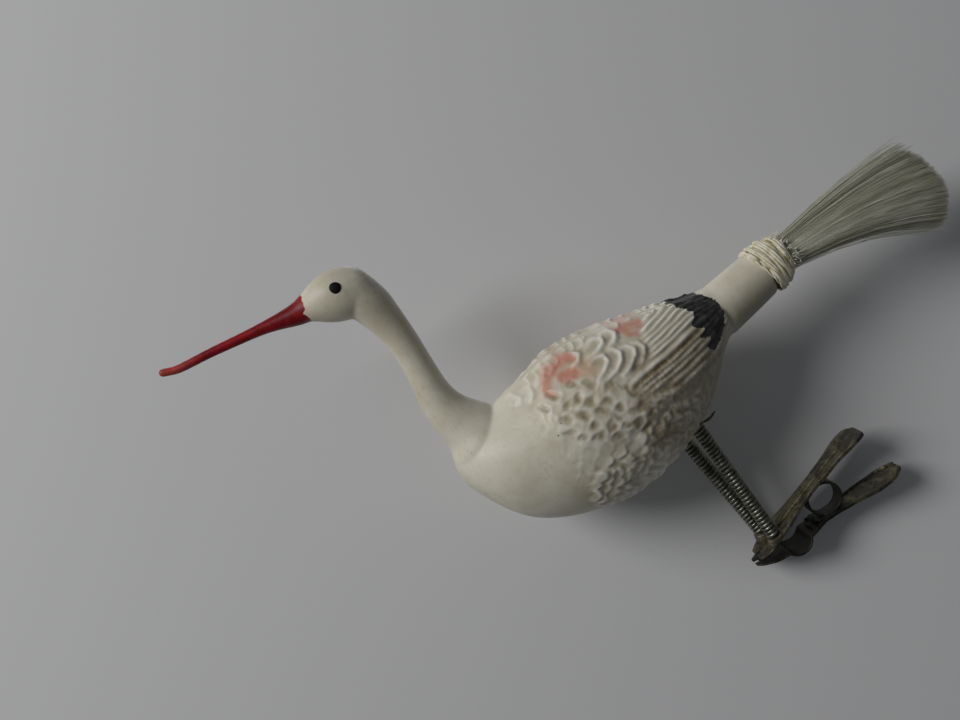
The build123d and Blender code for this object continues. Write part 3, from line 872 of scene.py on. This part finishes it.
def build_eye(node, material):
    """A low round drop of enamel on the side of the head."""
    low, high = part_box(node)
    radius = (high.x - low.x) / 2
    side = math.copysign(1, middle(node).y)

    def place(share, around):
        reach = radius * math.sin(math.pi * share) * (1 + 0.02 * math.sin(3 * around + 1.0))
        rise = EYE_RISE * math.cos(math.pi * share) - EYE_SUNK
        lean = EYE_LEAN * reach * math.sin(around)
        across = (reach * math.cos(around), side * (rise - lean), reach * math.sin(around))
        return middle(node) + Vector(across)

    drop = rings_of(EYE_RINGS, EYE_SIDES, place), quads(EYE_RINGS, EYE_SIDES)
    piece = new_piece(node + "_drop", *drop, material)
    with edited(piece.data) as solid:
        bmesh.ops.remove_doubles(solid, verts=solid.verts, dist=1e-6)
        bmesh.ops.recalc_face_normals(solid, faces=solid.faces)
    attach(piece, "bird")
    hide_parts(node)


COIL_PITCH = 0.9 * MM
COIL_STEPS = 22
WIRE_R = 0.36 * MM
WIRE_SIDES = 10


def build_leg(side, material):
    """One coil spring, built in two halves."""
    node = "leg_spring_" + side
    low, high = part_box(node)
    outer = (high.y - low.y) / 2
    centre_y = (high.y + low.y) / 2
    foot = Vector((high.x - outer, centre_y, low.z + WIRE_R))
    top = Vector((low.x + outer, centre_y, high.z - WIRE_R))
    length = (top - foot).length
    turns = length / COIL_PITCH
    along = (top - foot).normalized()
    out = Vector((1, 0, 0))
    out = (out - along * out.dot(along)).normalized()
    across = along.cross(out)
    steps = int(turns * COIL_STEPS)
    path = []
    for step in range(steps + 1):
        share = step / steps
        turn = 2 * math.pi * turns * share
        loose = 1 + 0.015 * math.sin(turn * 0.37 + 2.0)
        reach = (outer - WIRE_R) * loose
        round_it = out * math.cos(turn) + across * math.sin(turn)
        path.append(foot + along * (length * share) + round_it * reach)
    half = steps // 2
    spans = {
        "lower": (path[: half + 1], "clip_body", "legs"),
        "upper": (path[half:], "legs", "bird"),
    }
    for part, (points, below, above) in spans.items():
        vertices, faces = tube(points, [WIRE_R] * len(points), WIRE_SIDES)
        piece = new_piece(node + "_" + part, vertices, faces, material)
        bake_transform(piece)
        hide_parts(node)


def build_plate(node, body, name, material, shadow_front):
    """A stamped plate with the soft edges and slight waves of old pressed tin, and on the lower plate
    painted shadow over its front.
    """
    piece = voxel_skin(name, (node,), *PLATE_SKIN, material)
    mesh = piece.data
    points = points_of(mesh)
    px, py, _ = (points / MM).T
    wave = np.sin(px * 1.1 + py * 0.7) + np.sin(px * 0.55 - py * 1.4 + 1.0)
    points[:, 2] += 0.035 * MM * wave
    set_points(mesh, points)
    store_wear(mesh, 12, 0.10)
    # painted shadow over the front of the plate
    store(mesh, "painted_shadow", shadow_front * smoothstep(laid_out(points)[0], 19.0, 15.0))
    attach(piece, body)
    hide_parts(node)
    return piece


RING_AT = at(13.5, 0, 3.8)
RING_R = 3.65 * MM
RING_STRIP = 0.45 * MM
RING_WIDTH = 2.6 * MM
RING_GAP = (math.radians(118), math.radians(238))
RING_STEPS = 30


def build_ring(material):
    """The clip's ring spring."""
    piece = voxel_skin("ring_spring", ("clip_ring_spring",), *RING_SKIN, material)
    store_wear(piece.data, 10, 0.08)
    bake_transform(piece)
    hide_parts("clip_ring_spring")


def build_ring_front(material):
    """The ring's front arc, which closes it between the plates."""
    corners = ((-0.5, -0.5), (-0.5, 0.5), (0.5, 0.5), (0.5, -0.5))
    vertices = []
    for step in range(RING_STEPS + 1):
        turn = RING_GAP[0] + (RING_GAP[1] - RING_GAP[0]) * step / RING_STEPS
        out = Vector((math.cos(turn), 0, math.sin(turn)))
        for half, edge in corners:
            reach = out * (RING_R + half * RING_STRIP)
            vertices.append(RING_AT + reach + Vector((0, edge * RING_WIDTH, 0)))
    faces = quads(RING_STEPS, len(corners)) + caps(RING_STEPS, len(corners))
    piece = new_piece("ring_spring_front", vertices, faces, material, smooth=False)
    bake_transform(piece)


def build_solder(side, material):
    """An uneven lump of solder round a spring's foot."""
    node = "solder_" + side
    piece = voxel_skin(node + "_lump", (node,), *SOLDER_SKIN, material)
    mesh = piece.data
    points = points_of(mesh)
    normals = normals_of(mesh)
    px, py, pz = (points / MM).T
    lumps = 0.16 + 0.10 * np.sin(px * 2.9 + 1.3 * py) + 0.08 * np.sin(py * 4.1 - pz * 2.3)
    set_points(mesh, points + normals * (lumps * MM)[:, None])
    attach(piece, "clip_body")
    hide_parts(node)


def fibre_mesh(name, paths, radii, material):
    """Many thin three-sided fibres: paths is (fibre, point, xyz), radii is (fibre, point)."""
    count, length = radii.shape
    ahead = np.gradient(paths, axis=1)
    ahead /= np.linalg.norm(ahead, axis=2, keepdims=True)
    side = np.cross(ahead, np.array([0.0, 0.31, 0.95]))
    side /= np.linalg.norm(side, axis=2, keepdims=True)
    up = np.cross(ahead, side)
    rings = []
    for k in range(3):
        turn = 2 * math.pi * k / 3
        rings.append(paths + (side * math.cos(turn) + up * math.sin(turn)) * radii[..., None])
    vertices = np.stack(rings, 2).reshape(-1, 3)
    first = (np.arange(count)[:, None] * length + np.arange(length - 1)[None]).reshape(-1) * 3
    faces = []
    for k in range(3):
        n = (k + 1) % 3
        faces.append(np.stack([first + k, first + n, first + 3 + n, first + 3 + k], 1))
    return new_piece(name, vertices, np.concatenate(faces).tolist(), material)


BRUSH_LINE = {
    "x": [20.0, 27.0, 31.0, 35.0, 43.0, 50.0, 57.0, 60.5, 63.4],
    "z": [49.7, 50.6, 50.8, 50.8, 50.5, 49.6, 47.9, 46.7, 45.7],
    "high": [2.2, 2.35, 2.75, 3.2, 4.4, 5.7, 7.3, 8.0, 8.7],
    "wide": [2.2, 2.35, 2.6, 3.0, 4.1, 5.2, 6.3, 6.7, 7.0],
}
FIBRES = 3400
FIBRE_POINTS = 9
STRAYS = 60
CORE_SHARE = [0.84, 0.84, 0.83, 0.82, 0.82, 0.84, 0.86]
CORE_SIDES = 48


def build_fibres(name, seed, material):
    """Half of the spun-glass tail: thin fibres that fan out from the binding."""
    draw = np.random.default_rng(seed)
    turn = draw.uniform(0, 2 * math.pi, FIBRES)
    inner = np.arange(FIBRES) % 2 == 0
    depth = draw.uniform(0, 1, FIBRES)
    reach = np.where(inner, np.sqrt(depth), 1 - 0.18 * depth)
    stray = np.arange(FIBRES) < STRAYS
    upward_side = np.where(np.arange(FIBRES) % 3 == 1, -0.5, 0.5) * math.pi
    turn = np.where(stray, upward_side + draw.normal(0, 0.5, FIBRES), turn)
    reach = np.where(stray, 1 + draw.uniform(-0.05, 0.24, FIBRES), reach)
    spread_y, spread_z = reach * np.cos(turn), reach * np.sin(turn)
    longest = 1 - 0.08 * draw.uniform(0, 1, FIBRES) ** 2 - 0.03 * np.abs(spread_z)
    share = np.linspace(0, 1, FIBRE_POINTS)[None] * longest[:, None]
    knots = np.linspace(0, 1, len(BRUSH_LINE["x"]))
    line = {k: np.interp(share, knots, v) for k, v in BRUSH_LINE.items()}
    fan = share**2
    tilt = math.radians(18) * fan * spread_z[:, None] * line["high"]
    wander = draw.normal(0, 0.22, (FIBRES, 2))
    wander += stray[:, None] * draw.normal(0, 0.8, (FIBRES, 2))
    x = line["x"] + np.sin(tilt * 0.06) * 6.0 - 0.90 * fan * np.abs(spread_z[:, None])
    y = spread_y[:, None] * line["wide"] + wander[:, :1] * fan
    z = line["z"] + spread_z[:, None] * line["high"] + wander[:, 1:] * fan
    paths = np.stack([x - FEET[0], y - FEET[1], z - FEET[2]], 2) * MM
    radii = np.full((FIBRES, FIBRE_POINTS), 0.056) * draw.uniform(0.7, 1.2, (FIBRES, 1)) * MM
    radii[:, -1] *= 0.5
    piece = fibre_mesh(name, paths, radii, material)
    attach(piece, "bird")
    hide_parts("tail_brush")


def build_fibre_core(material):
    """The close-packed middle of the tail, where no gap shows between the fibres."""
    vertices = []
    for k, share in enumerate(CORE_SHARE, 1):
        middle_at = at(BRUSH_LINE["x"][k], 0, BRUSH_LINE["z"][k])
        wide, high = share * BRUSH_LINE["wide"][k] * MM, share * BRUSH_LINE["high"][k] * MM
        for i in range(CORE_SIDES):
            turn = 2 * math.pi * i / CORE_SIDES
            vertices.append(middle_at + Vector((0, wide * math.cos(turn), high * math.sin(turn))))
    strips = len(CORE_SHARE) - 1
    faces = quads(strips, CORE_SIDES) + caps(strips, CORE_SIDES)
    piece = new_piece("spun_glass_core", vertices, faces, material)
    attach(piece, "bird")


TUBE_MOUTH = Vector((26.8, 0, 50.6))
TAIL_SLOPE = math.radians(7.9)
TAIL_ALONG = Vector((math.cos(TAIL_SLOPE), 0, math.sin(TAIL_SLOPE)))
TAIL_UP = Vector((-math.sin(TAIL_SLOPE), 0, math.cos(TAIL_SLOPE)))
WRAP_AT = [-1.5, 0.6, 2.9, 5.2, 7.4]
WRAP_R = [5.0, 5.1, 4.65, 3.75, 3.0]
WRAP_STATIONS = 30
WRAP_SIDES = 96
LOOPS = 17
LOOP_STEPS = 44
PLIES = 4
CORD_STEPS = 240
CORD_TWISTS = 8
FRAYS = 64
FRAY_STEPS = 6


def on_wrap(along, turn, proud=0.0):
    """A place on the binding: distance past the tube's mouth, turn from the top, in millimetres."""
    reach = float(np.interp(along, WRAP_AT, WRAP_R)) + proud
    layout = TUBE_MOUTH + TAIL_ALONG * along + TAIL_UP * (reach * math.cos(turn))
    layout += Vector((0, -reach * math.sin(turn), 0))
    return at(*layout)


def wrap_place(share, turn):
    """How far past the tube's mouth the winding lies, first to last turn, top to bottom."""
    top = -0.5 + 6.2 * share
    bottom = 0.9 + 3.2 * share
    return bottom + (top - bottom) * (0.5 + 0.5 * math.cos(turn)) ** 0.8


def wrap_loop(top, bottom, proud, start, sweep):
    """Points of one strand wound round the tail, gathered towards the bottom."""
    points = []
    drift = rng.uniform(-0.25, 0.25)
    for step in range(LOOP_STEPS + 1):
        turn = start + sweep * step / LOOP_STEPS
        share = 0.5 + 0.5 * math.cos(turn)
        along = bottom + (top - bottom) * share**0.8 + drift * math.sin(turn * 2)
        wave = 0.10 * math.sin(turn * 5 + top * 3)
        points.append(on_wrap(along, turn, proud + wave))
    return points


def build_binding(pale, ochre, white):
    """Thread wound round the tube's mouth and the root of the brush."""
    def wrapped(share, turn):
        along = wrap_place(share, turn)
        groove = 0.12 * math.sin(along * 7 + 2.2 * math.cos(turn) + 0.5 * math.sin(3 * turn))
        return on_wrap(along, turn, groove - 0.22)

    def tucked(share, turn):
        return on_wrap(wrap_place(1.03, turn), turn, -2.0)

    under = rings_of(WRAP_STATIONS, WRAP_SIDES, wrapped) + rings_of(1, WRAP_SIDES, tucked)[:WRAP_SIDES]
    faces = quads(WRAP_STATIONS + 1, WRAP_SIDES, inward=True)
    pieces = [new_piece("binding_wrap", under, faces, pale)]
    strands = {"binding_threads_pale": [], "binding_threads_ochre": []}
    for loop in range(LOOPS):
        share = loop / (LOOPS - 1)
        top = -0.3 + 6.0 * share + rng.uniform(-0.3, 0.3)
        bottom = 1.3 + 2.8 * share + rng.uniform(-0.4, 0.4)
        start = rng.uniform(0, 2 * math.pi)
        sweep = rng.uniform(1.5, 2.0) * math.pi
        proud = rng.uniform(-0.02, 0.34)
        which = "binding_threads_ochre" if rng.random() < 0.08 else "binding_threads_pale"
        for _ in range(PLIES):
            aside = rng.uniform(-0.32, 0.32)
            lift = proud + rng.uniform(-0.12, 0.12)
            points = wrap_loop(top + aside, bottom + aside * 0.6, lift, start, sweep)
            thick = rng.uniform(0.17, 0.26) * MM
            ends = [min(1, (i + 1) / 5, (len(points) - i) / 5) for i in range(len(points))]
            radii = [thick * math.sin(math.pi * end / 2) for end in ends]
            strands[which].append(tube(points, radii, 6))
    for name, parts in strands.items():
        material = pale if name.endswith("pale") else ochre
        pieces.append(new_piece(name, *gather(parts), material))
    plies = []
    for ply in range(2):
        points = []
        for step in range(CORD_STEPS + 1):
            turn = 2 * math.pi * step / CORD_STEPS
            along = wrap_place(-0.06, turn)
            twist = CORD_TWISTS * turn + math.pi * ply
            points.append(on_wrap(along + 0.15 * math.cos(twist), turn, 0.12 + 0.12 * math.sin(twist)))
        plies.append(tube(points, [0.17 * MM] * len(points), 7, ends=False))
    pieces.append(new_piece("binding_cord", *gather(plies), pale))
    frays = []
    for _ in range(FRAYS):
        along = rng.uniform(4.6, 7.0)
        turn = rng.uniform(-0.7, 2.4)
        root = on_wrap(along, turn, -0.1)
        out = (on_wrap(along, turn, 1.0) - root).normalized()
        ahead = (on_wrap(along + 0.5, turn, 0.0) - on_wrap(along, turn, 0.0)).normalized()
        reach = rng.uniform(0.8, 2.4) * MM
        bend = rng.uniform(-0.5, 0.9)
        shares = [step / FRAY_STEPS for step in range(FRAY_STEPS + 1)]
        points = [root + out * (reach * t * 0.55) + ahead * (reach * bend * t * t) for t in shares]
        frays.append(tube(points, [0.13 * MM * (1 - 0.7 * t) for t in shares], 5))
    pieces.append(new_piece("binding_frays", *gather(frays), white))
    for piece in pieces:
        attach(piece, "bird")
    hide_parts("tail_binding")


LEAF_ROWS = 16
LEAF_SIDES = 12


def build_tongue(material):
    """The small bronze leaf beside the left spring's top."""
    root = at(0.6, -2.5, 33.1)
    tip = at(4.0, -2.5, 33.5)

    def place(share, turn):
        centre = root.lerp(tip, share) - Vector((0, 0, 0.35 * MM * math.sin(math.pi * share)))
        wide = (0.18 + 0.5 * math.sin(math.pi * min(1.0, 0.12 + share * 0.95)) ** 0.8) * MM
        bend = 0.10 * MM * math.cos(2 * turn)
        lift = 0.14 * MM * math.sin(turn)
        return centre + Vector((0.3 * bend - 0.5 * lift, wide * math.cos(turn), lift))

    vertices = rings_of(LEAF_ROWS, LEAF_SIDES, place)
    faces = quads(LEAF_ROWS, LEAF_SIDES) + caps(LEAF_ROWS, LEAF_SIDES)
    piece = new_piece("tongue_leaf", vertices, faces, material)
    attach(piece, "bird")
    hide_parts("leg_tongue")


# ---- build ----------------------------------------------------------------------
skin, beak = build_skin(painted_glass(), red_paint())
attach(skin, "bird")
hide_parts("glass_bird")
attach(beak, "bird")
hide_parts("beak")

enamel = black_enamel()
for eye in ("eye_left", "eye_right"):
    build_eye(eye, enamel)

chalk = plaster()
for plug in ("belly_plug", "tail_plug"):
    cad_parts[plug].data.materials.clear()
    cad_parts[plug].data.materials.append(chalk)

glassy = spun_glass()
build_fibre_core(glassy)
build_fibres("spun_glass_near", 7, glassy)
build_fibres("spun_glass_far", 8, glassy)
build_binding(
    thread("thread_pale", rgb(236, 232, 214), rgb(206, 196, 158)),
    thread("thread_ochre", rgb(206, 194, 146), rgb(158, 144, 92)),
    thread("thread_white", rgb(240, 239, 228), rgb(212, 208, 186)),
)

wire = spring_wire()
for leg in ("left", "right"):
    build_leg(leg, wire)
tin = tinplate("tinplate", rgb(132, 126, 100), rgb(78, 74, 62))
ring_tin = tinplate("spring_steel", rgb(64, 64, 58), rgb(34, 34, 32))
# only the lower plate gets painted shadow over its front
build_plate("clip_upper_plate", "clip_body", "upper_plate", tin, 0.0)
build_plate("clip_lower_plate", "clip_jaw", "lower_plate", tin, 1.0)
build_ring(ring_tin)
build_ring_front(ring_tin)
lead = solder_metal()
for foot in ("left", "right"):
    build_solder(foot, lead)
build_tongue(tin)


# ---- camera, ground and light ---------------------------------------------------
CAMERA_AT = Vector((-31.725, -174.125, 104.45)) * MM
LOOK_DOWN = math.radians(12)
ROLL = math.radians(35)
ahead = Vector((0, math.cos(LOOK_DOWN), -math.sin(LOOK_DOWN)))
level = Vector((1, 0, 0))
above = level.cross(ahead)
right = level * math.cos(ROLL) - above * math.sin(ROLL)
upward = level * math.sin(ROLL) + above * math.cos(ROLL)

camera_data = bpy.data.cameras.new("camera")
camera_data.lens = 35
camera_data.sensor_width = 36
camera_data.clip_start = 0.01
camera = bpy.data.objects.new("camera", camera_data)
SCENE.collection.objects.link(camera)
turned_view = Matrix((right, upward, -ahead)).transposed().to_4x4()
camera.matrix_world = Matrix.Translation(CAMERA_AT) @ turned_view
SCENE.camera = camera


def facing_from(place, direction):
    """A pose at place whose own Z points along direction."""
    return Matrix.Translation(place) @ direction.to_track_quat("Z", "Y").to_matrix().to_4x4()


GROUND_LEAN = math.radians(15.5)
GROUND_R = 0.25
GROUND_RINGS = 12
GROUND_SIDES = 96


def build_ground():
    """The pale surface that the bird lies against on its right side."""
    facing = Vector((0, -math.cos(GROUND_LEAN), math.sin(GROUND_LEAN)))
    lowest = 0
    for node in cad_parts.values():
        lowest = min(lowest, float((points_of(node.data) @ np.array(facing)).min()))
    centre = middle("glass_bird")
    centre += facing * (lowest - centre.dot(facing) - 0.6 * MM)
    turns = [2 * math.pi * k / GROUND_SIDES for k in range(GROUND_SIDES)]
    reaches = [GROUND_R * ring / GROUND_RINGS for ring in range(1, GROUND_RINGS + 1)]
    vertices = [(0, 0, 0)]
    vertices += [(reach * math.cos(t), reach * math.sin(t), 0) for reach in reaches for t in turns]
    faces = [(0, 1 + k, 1 + (k + 1) % GROUND_SIDES) for k in range(GROUND_SIDES)]
    for face in quads(GROUND_RINGS - 1, GROUND_SIDES, inward=True):
        faces.append(tuple(1 + i for i in face))
    ground = new_piece("ground", vertices, faces, pale_ground())
    ground.matrix_world = facing_from(centre, facing)
    ground.visible_shadow = False


build_ground()


# Each light: where it stands as seen from the bird, distance, size, watts, colour
LIGHTS = {
    "window": (-right * 0.82 + upward * 0.16 - ahead * 0.55, 0.85, 0.42, 4.2, (1.0, 0.99, 0.97)),
    "far_fill": (ahead * 0.8 - right * 0.25 + upward * 0.55, 0.6, 0.45, 0.9, (0.97, 0.98, 1.0)),
}
for name, (towards, distance, size, power, colour) in LIGHTS.items():
    data = bpy.data.lights.new(name, "AREA")
    data.shape = "DISK"
    data.size = size
    data.energy = power
    data.color = colour
    light = bpy.data.objects.new(name, data)
    SCENE.collection.objects.link(light)
    towards = towards.normalized()
    light.matrix_world = facing_from(middle("glass_bird") + towards * distance, towards)

# A faint sky lights the scene; the camera sees grey behind it
SKY = ((0.93, 0.96, 1.0, 1.0), 0.095)
BACKDROP = (0.30, 0.305, 0.315, 1.0)
world = bpy.data.worlds.new("studio")
SCENE.world = world
world.use_nodes = True
nodes = world.node_tree.nodes
sky = nodes["Background"]
sky.inputs["Color"].default_value, sky.inputs["Strength"].default_value = SKY
seen = nodes.new("ShaderNodeBackground")
seen.inputs["Color"].default_value = BACKDROP
from_camera = nodes.new("ShaderNodeLightPath").outputs["Is Camera Ray"]
surface = nodes["World Output"].inputs["Surface"]
switch(world.node_tree, from_camera, sky.outputs[0], seen.outputs[0], surface)
SCENE.view_settings.view_transform = "Standard"
